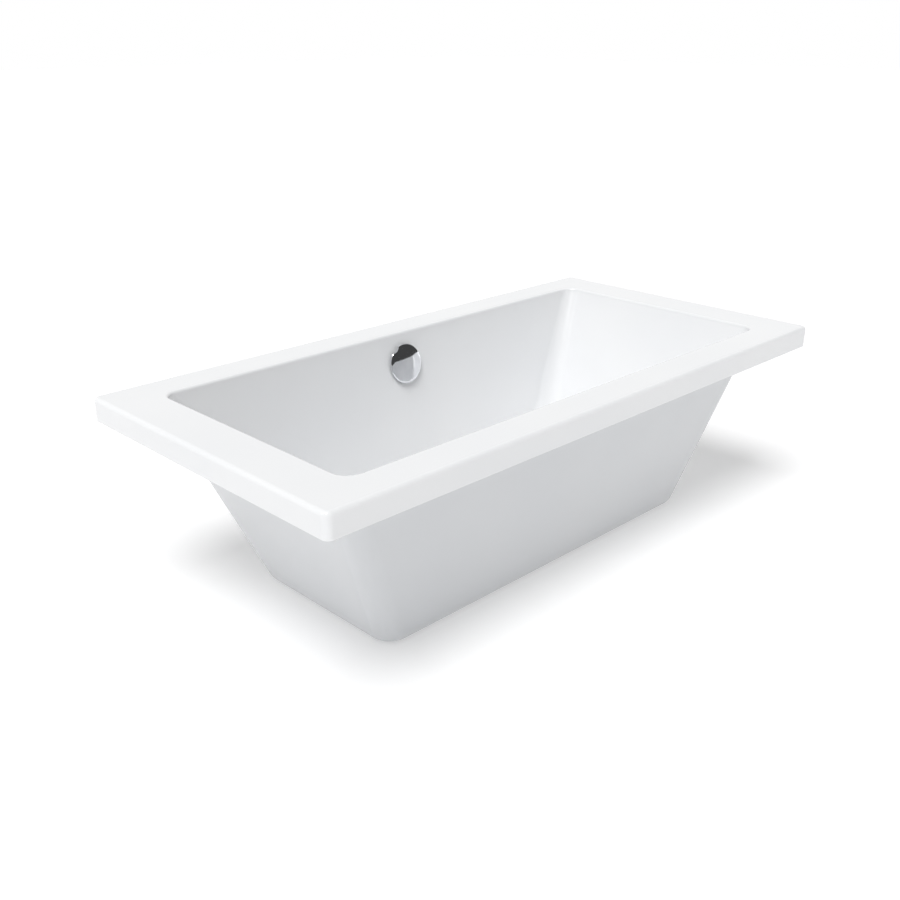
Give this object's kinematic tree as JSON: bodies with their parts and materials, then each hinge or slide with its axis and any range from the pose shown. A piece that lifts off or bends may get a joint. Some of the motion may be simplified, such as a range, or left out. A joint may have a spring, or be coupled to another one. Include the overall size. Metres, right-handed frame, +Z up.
{
  "type": "freestanding bathtub",
  "caption": "Freestanding rectangular double-ended bathtub with a broad flat rim, tapered casing, rotary overflow knob and pop-up waste.",
  "frame": {"origin": "on the floor under the middle of the bath", "axes": "+X along the bath, +Y towards the long wall with the overflow, +Z up"},
  "size_m": [1.8, 0.9, 0.533],
  "materials": {
    "acrylic": "glossy white sanitary acrylic",
    "chrome": "polished chrome plate",
    "steel": "bright zinc plate",
    "board": "resin-bonded chipboard",
    "pad_rubber": "matt moulded",
    "seal_rubber": "matt",
    "black_plastic": "moulded polypropylene",
    "grey_plastic": "moulded polypropylene",
    "brass": "machined"
  },
  "bodies": {
    "tub": {"cable_sheath": "black_plastic", "flange_seal": "seal_rubber", "floor_board": "board", "foot_pad_left_back": "pad_rubber", "foot_pad_left_front": "pad_rubber", "foot_pad_right_back": "pad_rubber", "foot_pad_right_front": "pad_rubber", "foot_stud_left_back": "steel", "foot_stud_left_front": "steel", "foot_stud_right_back": "steel", "foot_stud_right_front": "steel", "guide_screw": "chrome", "inner_basin": "acrylic", "lever_pin": "steel", "lock_nut_left_back": "steel", "lock_nut_left_front": "steel", "lock_nut_right_back": "steel", "lock_nut_right_front": "steel", "outer_casing": "acrylic", "outlet_nut": "black_plastic", "outlet_pipe": "grey_plastic", "overflow_collar": "chrome", "overflow_gasket": "seal_rubber", "overflow_hose": "grey_plastic", "overflow_housing": "black_plastic", "rail_nut_left_back": "steel", "rail_nut_left_front": "steel", "rail_nut_right_back": "steel", "rail_nut_right_front": "steel", "rail_screw_left_back": "steel", "rail_screw_left_front": "steel", "rail_screw_right_back": "steel", "rail_screw_right_front": "steel", "support_rail_left": "steel", "support_rail_right": "steel", "trap_body": "grey_plastic", "trap_insert": "grey_plastic", "waste_flange": "chrome", "waste_gasket": "seal_rubber"},
    "knob": {"overflow_knob": "chrome", "knob_spindle": "brass", "cable_drum": "grey_plastic"},
    "plug": {"plug_cap": "chrome", "plug_seal": "seal_rubber", "plug_stem": "brass"},
    "lever": {"lift_lever": "brass"}
  },
  "joints": [
    {"name": "knob_turn", "type": "hinge", "parent": "tub", "child": "knob", "pos_m": [0, 0.32988, 0.442], "axis": [0, -0.9789, 0.2044], "range_deg": [0, 90]},
    {"name": "plug_lift", "type": "slide", "parent": "tub", "child": "plug", "axis": [0, 0, 1], "range_m": [0, 0.0091]},
    {"name": "lever_tilt", "type": "hinge", "parent": "tub", "child": "lever", "pos_m": [0, -0.026, 0.081], "axis": [1, 0, 0], "range_deg": [0, 18.1]}
  ],
  "couplings": [
    {"joint": "plug_lift", "follows": "knob_turn", "m_per_rad": 0.00573},
    {"joint": "lever_tilt", "follows": "knob_turn", "ratio": 0.2}
  ]
}
